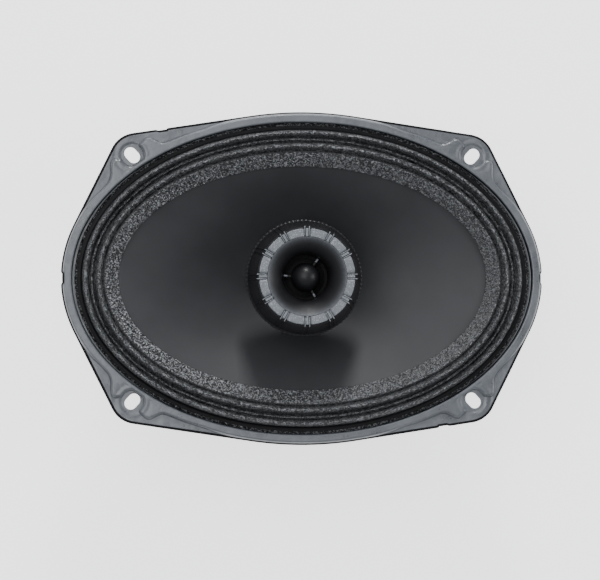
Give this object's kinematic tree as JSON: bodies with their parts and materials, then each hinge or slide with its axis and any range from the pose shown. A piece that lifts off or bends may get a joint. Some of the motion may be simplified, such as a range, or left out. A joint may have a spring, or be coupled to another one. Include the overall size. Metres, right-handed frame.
{
  "type": "coaxial car speaker",
  "caption": "Oval coaxial car speaker: pressed steel basket with four slotted ears, pleated surround, cone, and a horn tweeter on a post over the centre.",
  "frame": {"origin": "centre of the back plate's rear face, on which the speaker lies", "axes": "+Z forward along the speaker's axis, out of the cone; +X along the long axis of the oval; the terminals face -Y"},
  "size_m": [0.2386, 0.165, 0.1],
  "materials": {
    "painted_steel": "charcoal satin powder coat on pressed steel, black at the turned-down edge",
    "plated_steel": "zinc plated, satin",
    "ferrite": "matte sintered ferrite",
    "dark_plastic": "satin black moulded plastic",
    "horn_plastic": "black moulded plastic, grey spray at the mouth",
    "ring_plastic": "satin grey with a fine sparkle",
    "gloss_black": "semi-gloss black",
    "neodymium": "nickel plated",
    "red_sleeve": "soft red wire sleeve",
    "black_sleeve": "soft black wire sleeve",
    "board_fibre": "brown laminated fibre board",
    "brass": "bright rolled brass",
    "capacitor_sleeve": "shrink sleeve, dark blue",
    "cone_skin": "smooth dark grey cone",
    "kapton": "amber film",
    "copper": "enamelled copper wire",
    "black_cloth": "black coated woven cloth with a glittering damping coat",
    "amber_cloth": "resin-stiffened woven cloth",
    "tinsel_braid": "braided tinsel wire",
    "dome_film": "black coated silk"
  },
  "bodies": {
    "frame": {"basket": "painted_steel", "back_plate_with_pole": "plated_steel", "ferrite_magnet": "ferrite", "top_plate": "plated_steel", "basket_rivet_1": "plated_steel", "basket_rivet_2": "plated_steel", "basket_rivet_3": "plated_steel", "basket_rivet_4": "plated_steel", "tweeter_post": "dark_plastic", "tweeter_cup": "dark_plastic", "tweeter_horn": "horn_plastic", "tweeter_trim_ring": "ring_plastic", "phase_plug": "gloss_black", "tweeter_yoke": "plated_steel", "tweeter_magnet": "neodymium", "tweeter_top_plate": "plated_steel", "post_washer": "plated_steel", "post_nut": "plated_steel", "tweeter_lead_positive": "red_sleeve", "tweeter_lead_negative": "black_sleeve", "terminal_board": "board_fibre", "terminal_positive": "brass", "terminal_negative": "brass", "board_rivet_1": "plated_steel", "board_rivet_2": "plated_steel", "crossover_capacitor": "capacitor_sleeve", "capacitor_leg_1": "plated_steel", "capacitor_leg_2": "plated_steel"},
    "cone": {"cone": "cone_skin", "voice_coil_former": "kapton", "voice_coil_winding": "copper", "surround": "black_cloth", "spider": "amber_cloth", "tinsel_lead_positive": "tinsel_braid", "tinsel_lead_negative": "tinsel_braid"},
    "tweeter_dome": {"tweeter_diaphragm": "dome_film", "tweeter_voice_coil": "copper"}
  },
  "joints": [
    {"name": "cone_travel", "type": "slide", "parent": "frame", "child": "cone", "axis": [0, 0, 1], "range_m": [-0.006, 0.006], "stiffness_N_per_m": 5000, "deforming": ["surround", "spider", "tinsel_lead_positive", "tinsel_lead_negative"]},
    {"name": "tweeter_travel", "type": "slide", "parent": "frame", "child": "tweeter_dome", "axis": [0, 0, 1], "range_m": [-0.0003, 0.0003], "stiffness_N_per_m": 300, "deforming": ["tweeter_diaphragm"]}
  ]
}
